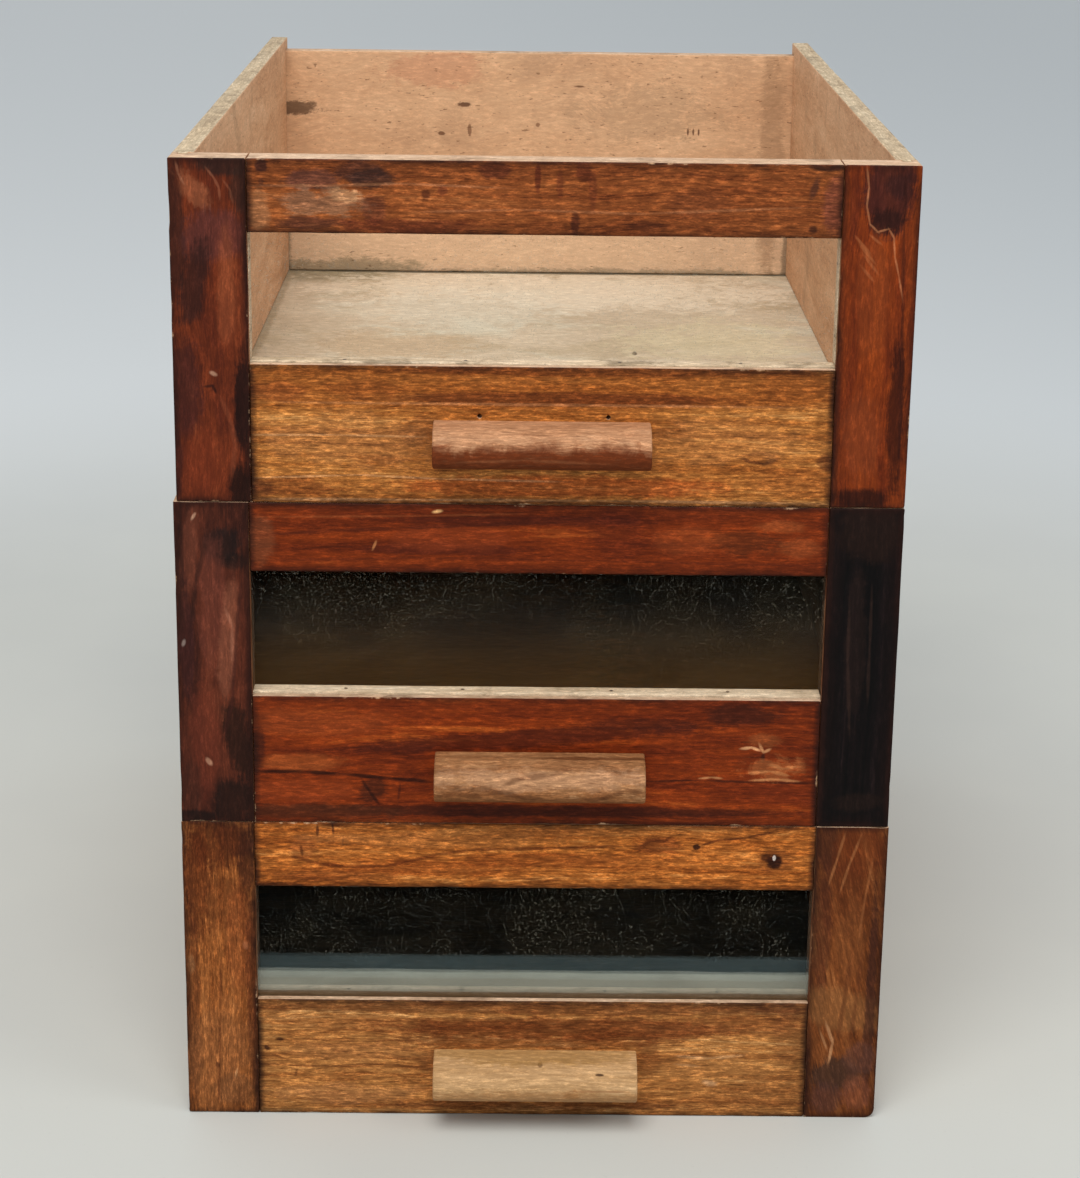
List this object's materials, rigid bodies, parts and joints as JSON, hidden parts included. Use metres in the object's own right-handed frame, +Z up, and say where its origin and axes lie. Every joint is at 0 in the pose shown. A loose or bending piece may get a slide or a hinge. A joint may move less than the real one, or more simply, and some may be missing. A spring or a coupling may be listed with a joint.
{
  "type": "stack of glass-fronted shop drawers",
  "caption": "Stack of loose wooden shop display drawers with glazed fronts and batten handles; each has a mortised front frame, thin sides and lifts off.",
  "frame": {"origin": "middle of the bounding box, on the surface that the lowest drawer stands on", "axes": "+X to the right seen from the front, +Y from the fronts to the backs, +Z up"},
  "size_m": [0.403, 0.5856, 0.5655],
  "materials": {
    "stained_frame_wood": "worn red-brown varnish",
    "bare_wood": "bare, weathered",
    "handle_wood": "bare, handled",
    "window_glass": "dusty",
    "steel": "dull"
  },
  "bodies": {
    "lower_drawer": {"lower_drawer_left_stile": "stained_frame_wood", "lower_drawer_right_stile": "stained_frame_wood", "lower_drawer_top_rail": "stained_frame_wood", "lower_drawer_bottom_rail": "stained_frame_wood", "lower_drawer_glass_pane": "window_glass", "lower_drawer_bottom_bead": "bare_wood", "lower_drawer_top_bead": "bare_wood", "lower_drawer_left_bead": "bare_wood", "lower_drawer_right_bead": "bare_wood", "lower_drawer_left_side": "bare_wood", "lower_drawer_right_side": "bare_wood", "lower_drawer_back_panel": "bare_wood", "lower_drawer_floor_panel": "bare_wood", "lower_drawer_handle": "handle_wood", "lower_drawer_bead_pins": "steel", "lower_drawer_side_nails": "steel", "lower_drawer_floor_nails": "steel", "lower_drawer_handle_screws": "steel"},
    "middle_drawer": {"middle_drawer_left_stile": "stained_frame_wood", "middle_drawer_right_stile": "stained_frame_wood", "middle_drawer_top_rail": "stained_frame_wood", "middle_drawer_bottom_rail": "stained_frame_wood", "middle_drawer_glass_pane": "window_glass", "middle_drawer_bottom_bead": "bare_wood", "middle_drawer_top_bead": "bare_wood", "middle_drawer_left_bead": "bare_wood", "middle_drawer_right_bead": "bare_wood", "middle_drawer_left_side": "bare_wood", "middle_drawer_right_side": "bare_wood", "middle_drawer_back_panel": "bare_wood", "middle_drawer_floor_panel": "bare_wood", "middle_drawer_handle": "handle_wood", "middle_drawer_bead_pins": "steel", "middle_drawer_side_nails": "steel", "middle_drawer_floor_nails": "steel", "middle_drawer_handle_screws": "steel"},
    "upper_drawer": {"upper_drawer_left_stile": "stained_frame_wood", "upper_drawer_right_stile": "stained_frame_wood", "upper_drawer_top_rail": "stained_frame_wood", "upper_drawer_bottom_rail": "stained_frame_wood", "upper_drawer_glass_pane": "window_glass", "upper_drawer_bottom_bead": "bare_wood", "upper_drawer_top_bead": "bare_wood", "upper_drawer_left_bead": "bare_wood", "upper_drawer_right_bead": "bare_wood", "upper_drawer_left_side": "bare_wood", "upper_drawer_right_side": "bare_wood", "upper_drawer_back_panel": "bare_wood", "upper_drawer_floor_panel": "bare_wood", "upper_drawer_handle": "handle_wood", "upper_drawer_bead_pins": "steel", "upper_drawer_side_nails": "steel", "upper_drawer_floor_nails": "steel", "upper_drawer_handle_screws": "steel"}
  },
  "joints": [
    {"name": "middle_drawer_lift", "type": "slide", "parent": "lower_drawer", "child": "middle_drawer", "axis": [0, 0, 1], "range_m": [0, 0.25]},
    {"name": "upper_drawer_lift", "type": "slide", "parent": "middle_drawer", "child": "upper_drawer", "axis": [0, 0, 1], "range_m": [0, 0.25]}
  ]
}
